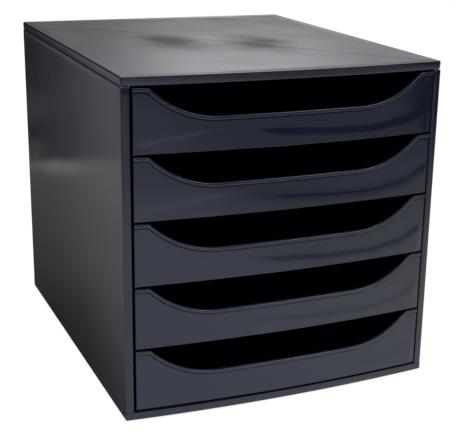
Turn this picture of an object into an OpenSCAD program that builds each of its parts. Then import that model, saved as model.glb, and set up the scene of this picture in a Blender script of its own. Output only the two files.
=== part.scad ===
// Desktop drawer stack for letter and A4 papers: a five-panel casing of moulded
// polystyrene, open at the front, with trays that slide out on moulded runners.
// X runs along the width, -Y is the front and Z is up. The origin is on the table,
// under the middle of the casing, which stands on four rubber feet.

/* [Casing] */
// Outside width
casing_w = 284; // [240:1:380]
// Outside depth, from the middle of the bowed front to the back edge
casing_d = 348; // [320:1:460]
// How far the middle of the front stands ahead of its corners
front_bow = 7; // [3:0.5:12]
// Wall of the side panels
side_wall = 2.5; // [2.2:0.1:4]
// Plate of the top panel
top_plate = 2.5; // [2:0.1:4]
// Depth of the skirt that runs round under the top panel's edge
top_skirt_h = 7.2; // [6:0.1:12]
// Thickness of the top panel's front skirt
top_rail_t = 3; // [2:0.1:6]
// Thickness of the top panel's side and rear skirts, which lap over the side panels
skirt_lap = 1.2; // [0.8:0.1:1.6]
// Height of the base panel's front rail
base_rail_h = 6.5; // [6:0.1:12]
// Thickness of the base panel's front rail
base_rail_t = 3; // [2:0.1:6]
// Plate of the base panel
base_plate = 2.5; // [2:0.1:3.5]
// Height of the hollow under the base plate
base_hollow_h = 2; // [1.5:0.1:3]
// Thickness of the rim round the underside of the base plate
base_rim_t = 2; // [1.5:0.1:3]
// Width of each front post
post_w = 6.6; // [5:0.1:12]
// Thickness of each front post
post_t = 2.6; // [2:0.1:5]
// Width of the flange at the rear edge of each side panel
rear_flange_w = 6; // [4:0.1:10]
// Thickness of that rear flange
rear_flange_t = 2; // [1.5:0.1:4]
// Thickness of the back panel
back_t = 2; // [1.5:0.1:3]
// Radius along the top panel's upper edges
top_edge_r = 1.2; // [0.5:0.1:1.8]

/* [Ledges and ribs] */
// Width of the ledge by which a side panel stands on the base plate
ledge_w = 5; // [3:0.1:8]
// Thickness of that ledge, and of the rib that holds the back panel
ledge_t = 1.8; // [1.2:0.1:2.2]
// Thickness of the two diagonal ribs under the top panel
stiffener_t = 1.6; // [1:0.1:2.5]
// Depth of those ribs
stiffener_h = 2.4; // [1:0.1:3]

/* [Runners] */
// Thickness of a runner's lower and upper flanges
runner_t = 1.8; // [1.2:0.1:2.5]
// Thickness of the web by which a runner is welded to its side panel
runner_web_t = 1.6; // [1:0.1:2.4]
// Width of the upper flange, which keeps an open drawer from tipping
guide_w = 8.5; // [7:0.1:8.8]
// How far the web reaches below the lower flange
web_margin = 7; // [2:0.5:9]
// How far the web reaches above the upper flange
web_lip = 1.8; // [0.5:0.1:2.5]

/* [Drawers] */
// Number of drawers
drawer_count = 5; // [2:1:7]
// Height of a drawer's front
front_h = 52.9; // [48:0.1:90]
// Gap above, below and between the drawer fronts
front_gap = 1.5; // [1:0.1:3]
// Gap between a drawer's front and each post
post_gap = 1.5; // [0.8:0.1:3]
// Thickness of a drawer's front
front_t = 2.4; // [1.8:0.1:4]
// How far the tray's walls end below the front's upper edge
tray_drop = 7.9; // [6:0.1:14]
// Thickness of the tray's walls
tray_wall_t = 2; // [1.5:0.1:3]
// Thickness of the tray's floor
tray_floor_t = 2; // [1.5:0.1:3]
// Radius of the tray's rear corners, outside
tray_corner_r = 8; // [4:0.5:20]
// Thickness of the flange round the top of the tray's walls
flange_t = 1.8; // [1.2:0.1:2.5]
// Width of that flange along the sides
flange_w = 4.8; // [4:0.1:5.2]

/* [Finger opening] */
// Height of the flat middle of the opening above the front's lower edge
opening_z = 28; // [20:0.5:40]
// Half of the length of that flat middle
opening_flat = 63; // [40:0.5:70]
// Radius of the curves that rise from it to the front's upper edge
opening_r = 80; // [65:0.5:85]
// Width of the bead round the front's upper edge
bead_w = 2.6; // [1.5:0.1:4]
// How far the bead stands ahead of the front
bead_proud = 0.8; // [0.4:0.1:1.4]
// How far the bead stands behind the front
bead_back = 0.8; // [0.4:0.1:2]

/* [Stop catch] */
// Distance that a drawer pulls out before its catches meet the posts
drawer_travel = 270; // [150:1:280]
// Length of the springy tongue that carries a catch
tongue_l = 34; // [20:1:50]
// Height of that tongue
tongue_h = 12; // [8:0.5:18]
// Height of its lower edge above the drawer's lower edge
tongue_z = 12; // [8:0.5:18]
// Width of the slot that frees the tongue from the wall
tongue_slot = 1.2; // [0.8:0.1:2]
// How far a catch reaches behind its post
catch_reach = 1.6; // [1:0.1:2]
// Thickness of a catch
catch_t = 3; // [2:0.1:5]

/* [Feet] */
// Diameter of a rubber foot
foot_d = 14; // [10:0.5:20]
// How far a foot stands below the base
foot_stand = 1.5; // [1:0.1:3]
// How far a foot is let into the base
foot_sink = 1.2; // [0.8:0.1:1.3]
// Distance of a foot's middle from the side of the casing
foot_inset_x = 24; // [20:1:60]
// Distance of a foot's middle from the front corners and the back edge
foot_inset_y = 26; // [22:1:60]
// Wall round the pocket that holds a foot
foot_boss_wall = 2; // [1.5:0.1:4]

/* [Fits] */
// Visible seam between the top panel's skirt and the side panels
seam = 0.3; // [0.1:0.05:0.6]
// Play between two casing panels
panel_play = 0.1; // [0.05:0.05:0.3]
// Play of a drawer's flange between its runner and its guide
flange_play = 0.3; // [0.2:0.05:0.6]
// Play at each side between a drawer and what it slides past
side_play = 1.6; // [1.5:0.1:2.2]
// Space behind a closed drawer
rear_space = 3; // [2:0.5:10]
// Play round a foot in its pocket
foot_play = 0.1; // [0.05:0.05:0.3]

/* [Hidden] */
plastic = [0.20, 0.21, 0.24];
plastic_front = [0.23, 0.24, 0.29];
rubber = [0.07, 0.07, 0.07];
arc_fn = 720;
small_fn = 48;
over = 1;

half_w = casing_w / 2;
half_d = casing_d / 2;
// The bowed front is one vertical cylinder, which every front face follows.
bow_r = (half_w * half_w + front_bow * front_bow) / (2 * front_bow);
bow_y = bow_r - half_d;

drawer_pitch = front_h + front_gap;
tray_wall_h = front_h - tray_drop;
bottom_z = foot_stand;
rail_top_z = bottom_z + base_rail_h;
skirt_z = rail_top_z + drawer_count * drawer_pitch + front_gap;
top_z = skirt_z + top_skirt_h;
base_plate_z = bottom_z + base_hollow_h;
base_floor_z = base_plate_z + base_plate;

inner_x = half_w - side_wall;
post_x = half_w - post_w;
front_x = post_x - post_gap;
flange_x = post_x - side_play;
tray_x = flange_x - flange_w;
runner_x = tray_x + side_play;
guide_x = inner_x - guide_w;

rear_flange_y = half_d - rear_flange_t;
back_y = rear_flange_y - back_t;
tray_rear_y = back_y - rear_space - flange_w;
face_r = bow_r - bead_proud;
front_back_r = face_r - front_t;
post_back_r = bow_r - post_t;
post_back_y = -half_d + front_bow + post_t;
catch_y = post_back_y + drawer_travel + panel_play;

// A runner fills the space between the post and the rib that holds the back panel.
back_rib_y = back_y - panel_play - ledge_t;
runner_front_y = post_back_y + panel_play;
runner_rear_y = back_rib_y - panel_play;
runner_l = runner_rear_y - runner_front_y;

// The ribs under the top panel run between the corners of this rectangle.
rib_x = half_w - max(rear_flange_w, post_w) - panel_play;
rib_front_y = -half_d + front_bow + top_rail_t;
rib_rear_y = back_y - panel_play;
rib_l = norm([2 * rib_x, rib_rear_y - rib_front_y]) - 2 * stiffener_t;
rib_angle = atan2(rib_rear_y - rib_front_y, 2 * rib_x);

foot_x = half_w - foot_inset_x;
foot_front_y = -half_d + front_bow + foot_inset_y;
foot_rear_y = half_d - foot_inset_y;

// Height of the lower edge of drawer i, with drawer 1 at the top.
function drawer_z(i) = rail_top_z + front_gap + (drawer_count - i) * drawer_pitch;

// Height of the underside of drawer i's flange, which slides between a runner's flanges.
function flange_z(i) = drawer_z(i) + tray_wall_h - flange_t;

// Heights of the lower and upper edges of runner i's web.
function web_z0(i) = flange_z(i) - flange_play - runner_t - web_margin;
function web_z1(i) = flange_z(i) + flange_t + flange_play + runner_t + web_lip;

// Everything behind the bowed front, seen from above, set back from it by inset.
module bowed_plan(inset) {
    intersection() {
        translate([0, bow_y])
            circle(r = bow_r - inset, $fn = arc_fn);
        translate([-half_w + inset, -half_d])
            square([casing_w - 2 * inset, casing_d - inset]);
    }
}

// A strip of the bowed front between two radii, seen from above.
module front_strip(outer_r, inner_r, reach) {
    intersection() {
        translate([0, bow_y])
            difference() {
                circle(r = outer_r, $fn = arc_fn);
                circle(r = inner_r, $fn = arc_fn);
            }
        translate([-reach, -half_d - over])
            square([2 * reach, front_bow + bow_r - inner_r + 2 * over]);
    }
}

// The rounded upper edges of the top panel, as the form that it stays inside.
module soft_topped_form() {
    intersection() {
        translate([0, bow_y])
            rotate_extrude($fn = arc_fn)
                soft_cornered_profile(bow_r);
        translate([-half_w, half_d, 0])
            rotate([90, 0, 0])
                linear_extrude(casing_d + over)
                    translate([half_w, 0])
                        union() {
                            soft_cornered_profile(half_w);
                            mirror([1, 0])
                                soft_cornered_profile(half_w);
                        }
        translate([half_w + over, -half_d, 0])
            rotate([90, 0, -90])
                linear_extrude(casing_w + 2 * over)
                    translate([-casing_d, 0])
                        mirror([1, 0])
                            translate([-casing_d, 0])
                                soft_cornered_profile(casing_d);
    }
}

// A profile from the middle out to reach, with its upper outer corner rounded.
module soft_cornered_profile(reach) {
    square([reach, top_z - top_edge_r]);
    square([reach - top_edge_r, top_z]);
    translate([reach - top_edge_r, top_z - top_edge_r])
        circle(r = top_edge_r, $fn = small_fn);
}

module top_panel() {
    color(plastic)
        intersection() {
            union() {
                translate([0, 0, top_z - top_plate])
                    linear_extrude(top_plate)
                        bowed_plan(0);
                translate([0, 0, skirt_z])
                    linear_extrude(top_skirt_h - top_plate)
                        difference() {
                            bowed_plan(0);
                            bowed_plan(skirt_lap);
                        }
                translate([0, 0, skirt_z])
                    linear_extrude(top_skirt_h - top_plate)
                        front_strip(bow_r, bow_r - top_rail_t, post_x);
                top_stiffener(rib_angle);
                top_stiffener(-rib_angle);
            }
            soft_topped_form();
        }
}

// A stiffening rib under the top plate, along one diagonal.
module top_stiffener(angle) {
    translate([0, (rib_front_y + rib_rear_y) / 2, top_z - top_plate - stiffener_h])
        rotate([0, 0, angle])
            translate([-rib_l / 2, -stiffener_t / 2, 0])
                cube([rib_l, stiffener_t, stiffener_h + top_plate / 2]);
}

module base_panel() {
    pocket_d = foot_d + 2 * foot_play;
    color(plastic)
        difference() {
            union() {
                translate([0, 0, base_plate_z])
                    linear_extrude(base_plate)
                        base_plan(0);
                translate([0, 0, bottom_z])
                    linear_extrude(base_hollow_h)
                        difference() {
                            base_plan(0);
                            base_plan(base_rim_t);
                        }
                translate([0, 0, bottom_z])
                    linear_extrude(base_rail_h)
                        front_strip(bow_r, bow_r - base_rail_t, half_w);
                at_feet()
                    translate([0, 0, bottom_z])
                        cylinder(h = base_hollow_h, d = pocket_d + 2 * foot_boss_wall, $fn = small_fn);
            }
            at_feet()
                cylinder(h = bottom_z + foot_sink, d = pocket_d, $fn = small_fn);
        }
}

// The base plate seen from above, between the side panels.
module base_plan(inset) {
    base_x = inner_x - panel_play - inset;
    intersection() {
        translate([0, bow_y])
            circle(r = bow_r - inset, $fn = arc_fn);
        translate([-base_x, -half_d])
            square([2 * base_x, rear_flange_y + half_d - panel_play - inset]);
    }
}

// Copies its children to the places of the four feet.
module at_feet() {
    for (x = [-foot_x, foot_x], y = [foot_front_y, foot_rear_y])
        translate([x, y, 0])
            children();
}

// The right side panel; the left one is its mirror image.
module side_panel() {
    color(plastic)
        difference() {
            union() {
                side_skin();
                side_post();
                side_rear_flange();
                side_ledge();
            }
            side_lap_cut();
            side_rail_notch();
        }
}

module side_skin() {
    translate([0, 0, bottom_z])
        linear_extrude(top_z - top_plate - bottom_z)
            intersection() {
                bowed_plan(0);
                translate([inner_x, -half_d])
                    square([side_wall, casing_d]);
            }
}

module side_post() {
    translate([0, 0, bottom_z])
        linear_extrude(top_z - top_plate - bottom_z)
            intersection() {
                front_strip(bow_r, post_back_r, half_w);
                translate([post_x, -half_d])
                    square([post_w, casing_d]);
            }
}

module side_rear_flange() {
    translate([half_w - rear_flange_w, rear_flange_y, bottom_z])
        cube([rear_flange_w, rear_flange_t, top_z - top_plate - bottom_z]);
}

// The ledge that stands on the base plate, and the rib that holds the back panel.
module side_ledge() {
    ledge_y = -half_d + front_bow + base_rail_t + panel_play;
    translate([inner_x - ledge_w, ledge_y, base_floor_z])
        cube([ledge_w + side_wall / 2, back_y - panel_play - ledge_y, ledge_t]);
    translate([half_w - rear_flange_w, back_rib_y, base_floor_z])
        cube([rear_flange_w - side_wall / 2, ledge_t, top_z - top_plate - base_floor_z]);
}

// Room for the top panel's skirt, which laps over the side panel's upper edge.
module side_lap_cut() {
    translate([0, 0, skirt_z - seam])
        linear_extrude(top_z)
            difference() {
                translate([0, -half_d - over])
                    square([half_w + over, casing_d + 2 * over]);
                intersection() {
                    bowed_plan(skirt_lap + panel_play);
                    translate([0, -half_d + front_bow + top_rail_t + panel_play])
                        square([half_w, casing_d]);
                }
            }
}

// Room for the end of the base panel's front rail.
module side_rail_notch() {
    translate([0, 0, bottom_z - over])
        linear_extrude(base_rail_h + over)
            front_strip(bow_r + over, bow_r - base_rail_t - panel_play, half_w + over);
}

module left_side_panel() {
    mirror([1, 0, 0])
        side_panel();
}

module right_side_panel() {
    side_panel();
}

// The right runner of drawer i: a web with a flange under the drawer's and one over it.
module runner(i) {
    color(plastic) {
        translate([runner_x, runner_front_y, flange_z(i) - flange_play - runner_t])
            cube([inner_x - runner_x, runner_l, runner_t]);
        translate([guide_x, runner_front_y, flange_z(i) + flange_t + flange_play])
            cube([guide_w, runner_l, runner_t]);
        translate([inner_x - runner_web_t, runner_front_y, web_z0(i)])
            cube([runner_web_t, runner_l, web_z1(i) - web_z0(i)]);
    }
}

module back_panel() {
    back_x = inner_x - panel_play;
    color(plastic)
        translate([-back_x, back_y, base_floor_z])
            cube([2 * back_x, back_t, top_z - top_plate - base_floor_z]);
}

module foot(x, y) {
    color(rubber)
        translate([x, y, 0])
            cylinder(h = bottom_z + foot_sink, d = foot_d, $fn = small_fn);
}

// The part of a drawer's front that the finger opening leaves out, grown by margin.
module opening_outline(margin) {
    translate([-opening_flat, opening_z - margin])
        square([2 * opening_flat, front_h]);
    for (side = [-1, 1])
        translate([side * opening_flat, opening_z + opening_r])
            circle(r = opening_r + margin, $fn = arc_fn / 4);
}

// A drawer's front seen from ahead, and its bead, which follows the upper edge.
module front_outline() {
    difference() {
        translate([-front_x, 0])
            square([2 * front_x, front_h]);
        opening_outline(0);
    }
}

module bead_outline() {
    intersection() {
        front_outline();
        union() {
            opening_outline(bead_w);
            translate([-front_x, front_h - bead_w])
                square([2 * front_x, bead_w]);
        }
    }
}

// An outline drawn in X and Z, carried back along Y from ahead of the front.
module stand_up() {
    translate([0, front_bow + bow_r - face_r - half_d + 2 * front_t, 0])
        rotate([90, 0, 0])
            linear_extrude(front_bow + 4 * front_t)
                children();
}

module drawer_front() {
    intersection() {
        linear_extrude(front_h)
            front_strip(face_r, front_back_r, front_x);
        stand_up()
            front_outline();
    }
    intersection() {
        linear_extrude(front_h)
            front_strip(bow_r, front_back_r - bead_back, front_x);
        stand_up()
            bead_outline();
    }
}

// The tray seen from above, out to half width reach, with its rear corners rounded.
module tray_plan(reach, rear_y, corner_r, front_r) {
    intersection() {
        translate([0, bow_y])
            circle(r = front_r, $fn = arc_fn);
        union() {
            translate([-reach, -half_d])
                square([2 * reach, half_d + rear_y - corner_r]);
            translate([-reach + corner_r, 0])
                square([2 * (reach - corner_r), rear_y]);
            for (side = [-1, 1])
                translate([side * (reach - corner_r), rear_y - corner_r])
                    circle(r = corner_r, $fn = small_fn);
        }
    }
}

module drawer_tray() {
    inside_r = tray_corner_r - tray_wall_t;
    linear_extrude(tray_floor_t)
        tray_plan(tray_x, tray_rear_y, tray_corner_r, front_back_r + front_t / 2);
    difference() {
        union() {
            linear_extrude(tray_wall_h)
                tray_plan(tray_x, tray_rear_y, tray_corner_r, front_back_r + front_t / 2);
            translate([0, 0, tray_wall_h - flange_t])
                linear_extrude(flange_t)
                    tray_plan(flange_x, tray_rear_y + flange_w, tray_corner_r + flange_w,
                              front_back_r + front_t / 2);
        }
        translate([0, 0, -over])
            linear_extrude(tray_wall_h + 2 * over)
                tray_plan(tray_x - tray_wall_t, tray_rear_y - tray_wall_t, inside_r, bow_r);
        for (side = [-1, 1])
            tongue_slots(side);
    }
    for (side = [-1, 1])
        catch(side);
}

// The slots round a springy tongue, open along three of its edges.
module tongue_slots(side) {
    slot_x = side * (tray_x - tray_wall_t / 2);
    for (z = [tongue_z - tongue_slot, tongue_z + tongue_h])
        translate([slot_x, catch_y + catch_t - tongue_l / 2 + tongue_slot, z + tongue_slot / 2])
            cube([2 * tray_wall_t, tongue_l, tongue_slot], center = true);
    translate([slot_x, catch_y + catch_t + tongue_slot * 1.5, tongue_z + tongue_h / 2])
        cube([2 * tray_wall_t, tongue_slot, tongue_h + 2 * tongue_slot], center = true);
}

// The catch at the free end of a tongue, which stops behind the post.
module catch(side) {
    catch_w = post_x + catch_reach - tray_x + tray_wall_t / 2;
    translate([side * (tray_x - tray_wall_t / 2 + catch_w / 2), catch_y + catch_t / 2, tongue_z + tongue_h / 2])
        cube([catch_w, catch_t, tongue_h - 2 * tongue_slot], center = true);
}

module drawer(i) {
    color(plastic_front)
        translate([0, 0, drawer_z(i)]) {
            drawer_front();
            drawer_tray();
        }
}

top_panel();
base_panel();
left_side_panel();
right_side_panel();
back_panel();
foot(-foot_x, foot_front_y);  // foot_front_left
foot(foot_x, foot_front_y);  // foot_front_right
foot(-foot_x, foot_rear_y);  // foot_rear_left
foot(foot_x, foot_rear_y);  // foot_rear_right
for (i = [1 : drawer_count]) {
    drawer(i);
    mirror([1, 0, 0]) runner(i);
    runner(i);
}
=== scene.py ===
# A desktop drawer stack: a satin moulded casing with a bowed front, and five glossy
# trays with wide finger openings that slide out on runners.
import math

import bmesh
import bpy
from mathutils import Matrix, Vector, noise


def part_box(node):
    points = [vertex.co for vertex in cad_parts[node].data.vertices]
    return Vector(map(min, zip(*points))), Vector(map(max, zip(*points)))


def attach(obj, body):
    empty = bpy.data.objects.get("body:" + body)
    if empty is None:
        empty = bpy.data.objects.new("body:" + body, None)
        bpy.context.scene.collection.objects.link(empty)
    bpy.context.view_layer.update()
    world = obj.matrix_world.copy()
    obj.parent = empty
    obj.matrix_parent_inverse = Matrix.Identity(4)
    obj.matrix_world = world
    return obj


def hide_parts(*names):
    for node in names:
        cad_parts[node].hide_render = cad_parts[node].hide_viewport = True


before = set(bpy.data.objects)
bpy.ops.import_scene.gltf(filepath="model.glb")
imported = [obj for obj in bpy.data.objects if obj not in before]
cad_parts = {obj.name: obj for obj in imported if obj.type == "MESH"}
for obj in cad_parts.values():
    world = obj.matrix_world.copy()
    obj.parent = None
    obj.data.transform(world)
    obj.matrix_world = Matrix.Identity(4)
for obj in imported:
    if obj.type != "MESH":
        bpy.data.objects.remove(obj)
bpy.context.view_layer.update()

mm = 0.001


# ---------------------------------------------------------------- camera
# A short telephoto lens, higher than the stack and to the left of its front, turned
# to the front and slightly shifted so that the stack stands in the frame's middle.
lens_place = Vector((-0.3761, -0.9490, 0.4315))
lens_right = Vector((0.91399, -0.40513, 0.02196))
lens_up = Vector((0.10333, 0.28479, 0.95299))
lens_ahead = Vector((0.39234, 0.86877, -0.30216))
camera = bpy.data.objects.new("camera", bpy.data.cameras.new("camera"))
bpy.context.scene.collection.objects.link(camera)
camera.matrix_world = Matrix.Translation(lens_place) @ Matrix(
    (lens_right, lens_up, -lens_ahead)
).transposed().to_4x4()
camera.data.sensor_width = 36
camera.data.lens = 85.71
camera.data.shift_x = -0.0735
camera.data.shift_y = 0.0121
camera.data.clip_start = 0.01
bpy.context.scene.camera = camera


# ---------------------------------------------------------------- lid
# The top panel: a 2.5 mm plate of injection-moulded polystyrene with a skirt that
# laps over the side panels, softly rounded upper edges and two diagonal ribs
# underneath, which leave faint sink lines in the plate.
def node_box(node):
    """A CAD node's lowest and highest corner, in millimetres."""
    low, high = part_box(node)
    return low / mm, high / mm


lid_low, lid_high = node_box("top_panel")
half_w = lid_high.x
front_y = lid_low.y
rear_y = lid_high.y
top_z = lid_high.z
skirt_z = lid_low.z
skirt_t, rail_t, plate_t = 1.2, 3.0, 2.5
front_bow = 7.0
bow_r = (half_w * half_w + front_bow * front_bow) / (2 * front_bow)
bow_y = front_y + bow_r


def bow(x, inset=0.0):
    """Y of the bowed front, set back by inset, at x."""
    return bow_y - math.sqrt((bow_r - inset) ** 2 - x * x)


def paint(hex_colour):
    """An sRGB hex colour as a linear RGBA value."""
    parts = [int(hex_colour[i : i + 2], 16) / 255 for i in (1, 3, 5)]
    return [c / 12.92 if c <= 0.04045 else ((c + 0.055) / 1.055) ** 2.4 for c in parts] + [1.0]


def add_node(tree, kind, settings=None, **links):
    """Adds a node to a tree. A link names an input, or _ and its number, and gives
    it a value or another node's output."""
    made = tree.nodes.new(kind)
    for name, value in (settings or {}).items():
        setattr(made, name, value)
    for name, value in links.items():
        socket = made.inputs[int(name[1:]) if name[0] == "_" else name.replace("_", " ")]
        if isinstance(value, bpy.types.NodeSocket):
            tree.links.new(value, socket)
        else:
            socket.default_value = value
    return made


def blank_material(name):
    """A new material, its node tree and its Principled shader."""
    material = bpy.data.materials.new(name)
    material.use_nodes = True
    return material, material.node_tree, material.node_tree.nodes["Principled BSDF"]


def make_piece(name, bm, material, sharp=32):
    """Turns a bmesh in millimetres into an object with smooth faces and sharp edges."""
    bmesh.ops.remove_doubles(bm, verts=bm.verts, dist=0.004)
    bmesh.ops.dissolve_degenerate(bm, edges=bm.edges, dist=0.004)
    bmesh.ops.recalc_face_normals(bm, faces=bm.faces)
    bmesh.ops.scale(bm, vec=(mm, mm, mm), verts=bm.verts)
    mesh = bpy.data.meshes.new(name)
    bm.to_mesh(mesh)
    bm.free()
    mesh.shade_smooth()
    mesh.set_sharp_from_angle(angle=math.radians(sharp))
    mesh.materials.append(material)
    piece = bpy.data.objects.new(name, mesh)
    bpy.context.scene.collection.objects.link(piece)
    return piece


def settle(piece):
    """Makes a piece's modifiers part of its mesh."""
    seen = piece.evaluated_get(bpy.context.evaluated_depsgraph_get())
    mesh = bpy.data.meshes.new_from_object(seen)
    piece.modifiers.clear()
    piece.data = mesh


def round_edges(piece, radius):
    """Rounds a piece's sharp edges."""
    rounding = piece.modifiers.new("rounded edges", "BEVEL")
    rounding.width = radius * mm
    rounding.segments = 3
    rounding.limit_method = "ANGLE"
    rounding.angle_limit = math.radians(38)
    rounding.harden_normals = True


def fit(piece, body, node):
    """Fits a piece to a body in the place of its CAD node."""
    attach(piece, body)
    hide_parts(node)


def loft(bm, rings, closed=True, cap_first=True, cap_last=True):
    """Joins rings or rows of points, each with as many, into a skin."""
    rows = [[bm.verts.new(point) for point in ring] for ring in rings]
    count = len(rows[0])
    for lower, upper in zip(rows, rows[1:]):
        for i in range(count if closed else count - 1):
            j = (i + 1) % count
            bm.faces.new((lower[i], lower[j], upper[j], upper[i]))
    if closed and cap_first:
        bm.faces.new(list(reversed(rows[0])))
    if closed and cap_last:
        bm.faces.new(rows[-1])
    return rows


def steps_from_edge(reach, pitch):
    """Places from -reach to reach, closer together near both ends."""
    near = [0, 0.3, 0.7, 1.2, 1.9, 3, 5, 8]
    count = max(2, round((reach - near[-1]) / pitch))
    inside = [near[-1] + (reach - near[-1]) * k / count for k in range(1, count + 1)]
    half = [reach - gap for gap in near + inside]
    return [-value for value in half] + half[::-1][1:]


def soft_corner(x, y, reach, low_y, high_y, radius):
    """Pulls a point of a rectangle's outline onto its rounded corners."""
    if radius <= 0:
        return x, y
    side = 1 if x > 0 else -1
    centre_x = side * (reach - radius)
    for centre_y, beyond in ((low_y + radius, y < low_y + radius), (high_y - radius, y > high_y - radius)):
        if beyond and side * (x - centre_x) > 0:
            away = Vector((x - centre_x, y - centre_y))
            if away.length > 1e-6:
                away = away.normalized() * radius
            return centre_x + away.x, centre_y + away.y
    return x, y


def bowed_ring(us, vs, z, side_in, front_in, back_in, radius):
    """The casing's outline at height z, set in, from the front left corner round."""
    reach = half_w - side_in
    high_y = rear_y - back_in
    low_corner = bow(reach, front_in)
    points = []
    trail = [(u, 0.0) for u in us] + [(us[-1], v) for v in vs[1:]]
    trail += [(u, 1.0) for u in reversed(us[:-1])] + [(us[0], v) for v in reversed(vs[1:-1])]
    for u, v in trail:
        x = u * reach
        low_y = bow(x, front_in)
        x, y = soft_corner(x, low_y + (high_y - low_y) * v, reach, low_corner, high_y, radius)
        points.append((x, y, z))
    return points


def waves(x, y, size, seed):
    """A smooth random height from -1 to 1 with hills of about that size."""
    return noise.noise(Vector((x / size, y / size, seed)))


def satin_polystyrene(name, marks=None):
    """Polystyrene from a spark-eroded mould: near black with a trace of blue, a fine
    even grain, faint flow clouds from the moulding and a low satin gloss. It may have
    shrink marks, given as a function that adds them to the relief at a place."""
    flow_size, gloss_size = 55 * mm, 90 * mm
    # The grain of the mould is about a fifth of a millimetre, and is drawn at 0.8 mm.
    grain_size, grain_depth = 0.8 * mm, 0.06 * mm
    material, tree, shader = blank_material(name)
    place = add_node(tree, "ShaderNodeTexCoord").outputs["Object"]
    flow = add_node(
        tree, "ShaderNodeTexNoise", Vector=place, Scale=1 / flow_size, Detail=3.0
    ).outputs["Fac"]
    flow = add_node(tree, "ShaderNodeMapRange", Value=flow, From_Min=0.3, From_Max=0.7).outputs["Result"]
    shades = {"_6": paint("#181A26"), "_7": paint("#1D1F2C")}
    tint = add_node(tree, "ShaderNodeMix", {"data_type": "RGBA"}, _0=flow, **shades).outputs[2]
    tree.links.new(tint, shader.inputs["Base Color"])
    cloud = add_node(
        tree, "ShaderNodeTexNoise", Vector=place, Scale=1 / gloss_size, Detail=2.0
    ).outputs["Fac"]
    gloss = add_node(
        tree, "ShaderNodeMapRange", Value=cloud, From_Min=0.3, From_Max=0.7, To_Min=0.10, To_Max=0.14
    ).outputs["Result"]
    tree.links.new(gloss, shader.inputs["Roughness"])
    shader.inputs["IOR"].default_value = 1.5
    grain = add_node(
        tree, "ShaderNodeTexNoise", Vector=place, Scale=1 / grain_size, Detail=2.0
    ).outputs["Fac"]
    relief = add_node(
        tree, "ShaderNodeBump", Strength=0.2, Distance=grain_depth, Height=grain
    ).outputs["Normal"]
    if marks:
        relief = marks(tree, place, relief)
    tree.links.new(relief, shader.inputs["Normal"])
    return material


def lid_marks(tree, place, relief):
    """The shrink marks of the lid: a fine line over each diagonal rib, steep on its
    front side and deeper over the rib from the back left corner, and a faint sag on
    both sides of the gate in the middle."""
    line_depth, steep_side, gentle_side = 0.06 * mm, 1.2 * mm, 12 * mm
    lines = []
    for turn, share in ((1, 0.15), (-1, 1.0)):
        across = Vector((-turn * rib_reach.y, rib_reach.x, 0)).normalized()
        along = add_node(tree, "ShaderNodeVectorMath", {"operation": "DOT_PRODUCT"}, _0=place, _1=across)
        offset = -across.y * rib_middle * mm
        away = add_node(tree, "ShaderNodeMath", {"operation": "ADD"}, _0=along.outputs["Value"], _1=offset)
        sides = []
        for start, end, low, high in ((-steep_side, 0.0, 0.0, -share), (0.0, gentle_side, -share, 0.0)):
            slope = add_node(
                tree, "ShaderNodeMapRange", Value=away.outputs["Value"],
                From_Min=start, From_Max=end, To_Min=low, To_Max=high,
            )
            sides.append(slope.outputs["Result"])
        line = add_node(tree, "ShaderNodeMath", {"operation": "MAXIMUM"}, _0=sides[0], _1=sides[1])
        lines.append(line.outputs["Value"])
    sink = add_node(tree, "ShaderNodeMath", {"operation": "MINIMUM"}, _0=lines[0], _1=lines[1])
    relief = add_node(
        tree, "ShaderNodeBump", Distance=line_depth, Height=sink.outputs["Value"], Normal=relief
    ).outputs["Normal"]
    # A sag is a patch with mottled edges where the plate falls towards the rear.
    mottle_size, mottle_share = 35 * mm, 0.8
    sag_reach, sag_fall = (42 * mm, 72 * mm, 1.0), 0.022
    mottle = add_node(
        tree, "ShaderNodeTexNoise", Vector=place, Scale=1 / mottle_size, Detail=2.0
    ).outputs["Fac"]
    for x, y in ((-43, 0), (31, -34)):
        from_sag = add_node(
            tree, "ShaderNodeMapping", {"vector_type": "TEXTURE"}, Vector=place,
            Location=(x * mm, y * mm, top_z * mm), Scale=sag_reach,
        ).outputs["Vector"]
        reach = add_node(tree, "ShaderNodeVectorMath", {"operation": "LENGTH"}, Vector=from_sag)
        mottled = add_node(
            tree, "ShaderNodeMath", {"operation": "MULTIPLY_ADD"},
            _0=mottle, _1=mottle_share, _2=reach.outputs["Value"],
        ).outputs["Value"]
        sag = add_node(
            tree, "ShaderNodeMapRange", {"interpolation_type": "SMOOTHSTEP"},
            Value=mottled, From_Min=0.4, From_Max=1.5, To_Min=sag_fall, To_Max=0.0,
        ).outputs["Result"]
        relief = add_node(
            tree, "ShaderNodeVectorMath", {"operation": "MULTIPLY_ADD"}, _0=sag, _1=(0, 1, 0), _2=relief
        ).outputs["Vector"]
    return add_node(tree, "ShaderNodeVectorMath", {"operation": "NORMALIZE"}, _0=relief).outputs["Vector"]


# The ribs run from corner to corner, between the side panels, the fascia and the back.
rib_side_gap, rib_rear_gap = 6.7, 4.0
rib_front, rib_rear = front_y + front_bow + rail_t, rear_y - rib_rear_gap
rib_middle = (rib_front + rib_rear) / 2
rib_reach = Vector((half_w - rib_side_gap, (rib_rear - rib_front) / 2))
satin_plastic = satin_polystyrene("satin moulded polystyrene")
lid_plastic = satin_polystyrene("satin moulded polystyrene of the lid", lid_marks)

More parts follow.
